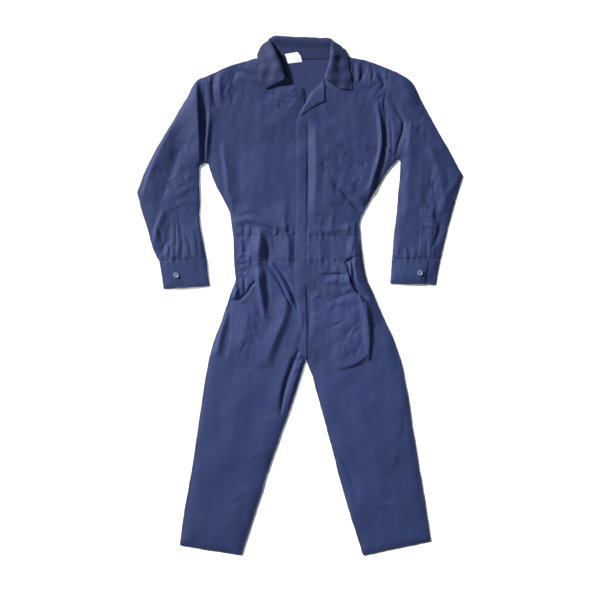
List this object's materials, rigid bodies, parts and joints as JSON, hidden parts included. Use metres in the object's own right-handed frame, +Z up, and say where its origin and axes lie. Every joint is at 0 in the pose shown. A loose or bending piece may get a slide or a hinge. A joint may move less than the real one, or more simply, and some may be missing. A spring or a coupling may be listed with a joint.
{
  "type": "boiler suit",
  "caption": "Long-sleeved boiler suit laid flat on its back, with turn-down collar, covered fly, waistband, patch pockets and button cuffs.",
  "frame": {"origin": "centre of the suit's outline, on the surface it lies on", "axes": "+Z up out of the front, +Y from the hems to the collar, +X towards the wearer's left"},
  "size_m": [0.9796, 1.5612, 0.0193],
  "materials": {
    "navy_twill": "matt navy poly-cotton twill with a faint sheen",
    "label_tape": "white woven tape, blank",
    "pearl_button": "pale pearl grey, glossy"
  },
  "bodies": {
    "root": {"back_body": "navy_twill", "front_right": "navy_twill", "front_left": "navy_twill", "fly_band": "navy_twill", "lapel_left": "navy_twill", "collar": "navy_twill", "chest_pocket": "navy_twill", "waistband_front_right": "navy_twill", "waistband_front_left": "navy_twill", "waistband_back": "navy_twill", "trouser_front_right": "navy_twill", "trouser_front_left": "navy_twill", "trouser_back_right": "navy_twill", "trouser_back_left": "navy_twill", "hip_pocket_right": "navy_twill", "hip_pocket_left": "navy_twill", "sleeve_right": "navy_twill", "sleeve_left": "navy_twill", "sleeve_placket_right": "navy_twill", "sleeve_placket_left": "navy_twill", "cuff_right": "navy_twill", "cuff_left": "navy_twill", "neck_label": "label_tape", "cuff_button_right": "pearl_button", "cuff_button_left": "pearl_button"}
  },
  "joints": []
}
